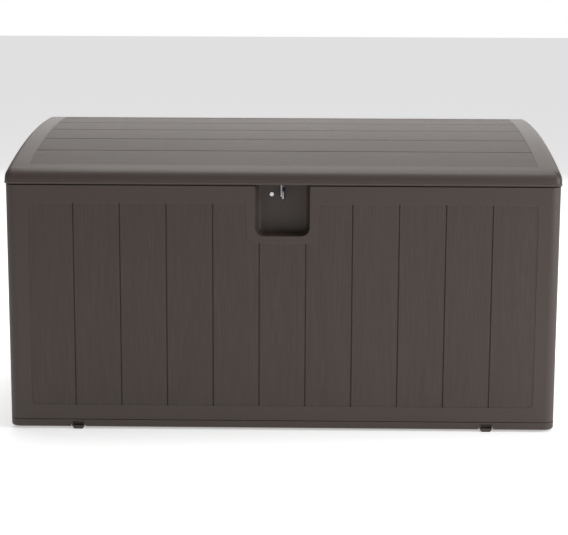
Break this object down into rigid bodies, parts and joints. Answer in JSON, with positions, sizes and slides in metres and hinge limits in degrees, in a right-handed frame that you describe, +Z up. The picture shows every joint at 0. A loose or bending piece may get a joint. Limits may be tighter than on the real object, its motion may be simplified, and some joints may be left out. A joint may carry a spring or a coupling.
{
  "type": "deck storage box",
  "caption": "Resin deck storage box with wood-grain plank walls, a sloped waterfall lid on rear hinges, lid struts and a recessed latch pocket with a padlock hasp.",
  "frame": {"origin": "on the ground under the middle of the box: centre of the closed box's bounding rectangle at the underside of the feet", "axes": "+X along the width, towards the right end seen from the front; +Y towards the hinges at the back, so the latch pocket faces -Y; +Z up"},
  "size_m": [1.406, 0.76, 0.747],
  "materials": {
    "resin": "moulded wood-grain polypropylene with smooth borders, satin",
    "steel_plate": "zinc-plated steel plate",
    "zinc_screw": "bright zinc-plated",
    "coated_steel": "dark powder coat",
    "strut_black": "gloss black enamel",
    "strut_rod": "hard chrome",
    "rubber": "soft moulded rubber"
  },
  "bodies": {
    "box": {"base_tray": "resin", "front_panel": "resin", "rear_panel": "resin", "side_panel_left": "resin", "side_panel_right": "resin", "foot_front_left": "resin", "foot_front_right": "resin", "foot_rear_left": "resin", "foot_rear_right": "resin", "corner_screws": "zinc_screw", "base_screws": "zinc_screw", "lock_bracket": "steel_plate", "lock_bolt": "zinc_screw", "lock_nut": "zinc_screw", "hinge_box_leaf_1": "coated_steel", "hinge_box_leaf_2": "coated_steel", "hinge_box_leaf_3": "coated_steel", "hinge_box_leaf_4": "coated_steel", "hinge_pin_1": "steel_plate", "hinge_pin_2": "steel_plate", "hinge_pin_3": "steel_plate", "hinge_pin_4": "steel_plate", "hinge_box_screws": "zinc_screw", "strut_lower_bracket_left": "coated_steel", "strut_lower_bracket_right": "coated_steel", "strut_lower_screws": "zinc_screw"},
    "lid": {"lid_shell": "resin", "lid_liner": "resin", "lid_screws": "zinc_screw", "lid_bumpers": "rubber", "lid_hasp": "steel_plate", "hasp_screws": "zinc_screw", "hinge_lid_leaf_1": "coated_steel", "hinge_lid_leaf_2": "coated_steel", "hinge_lid_leaf_3": "coated_steel", "hinge_lid_leaf_4": "coated_steel", "hinge_lid_screws": "zinc_screw", "strut_upper_bracket_left": "coated_steel", "strut_upper_bracket_right": "coated_steel", "strut_upper_screws": "zinc_screw"},
    "strut_tube_left": {"strut_tube_left": "strut_black"},
    "strut_rod_left": {"strut_rod_left": "strut_rod"},
    "strut_tube_right": {"strut_tube_right": "strut_black"},
    "strut_rod_right": {"strut_rod_right": "strut_rod"}
  },
  "joints": [
    {"name": "lid_hinge", "type": "hinge", "parent": "box", "child": "lid", "pos_m": [0, 0.372, 0.624], "axis": [-1, 0, 0], "range_deg": [0, 85]},
    {"name": "strut_swing_left", "type": "hinge", "parent": "box", "child": "strut_tube_left", "pos_m": [-0.663, 0.282, 0.399], "axis": [-1, 0, 0], "range_deg": [0, 5.74]},
    {"name": "strut_slide_left", "type": "slide", "parent": "strut_tube_left", "child": "strut_rod_left", "axis": [0, 0.0995, 0.995], "range_m": [0, 0.09795]},
    {"name": "strut_swing_right", "type": "hinge", "parent": "box", "child": "strut_tube_right", "pos_m": [0.663, 0.282, 0.399], "axis": [-1, 0, 0], "range_deg": [0, 5.74]},
    {"name": "strut_slide_right", "type": "slide", "parent": "strut_tube_right", "child": "strut_rod_right", "axis": [0, 0.0995, 0.995], "range_m": [0, 0.09795]}
  ],
  "couplings": [
    {"joint": "strut_swing_left", "follows": "lid_hinge", "ratio": 0.066945},
    {"joint": "strut_swing_right", "follows": "lid_hinge", "ratio": 0.066945},
    {"joint": "strut_slide_left", "follows": "lid_hinge", "m_per_rad": 0.065685},
    {"joint": "strut_slide_right", "follows": "lid_hinge", "m_per_rad": 0.065685}
  ]
}
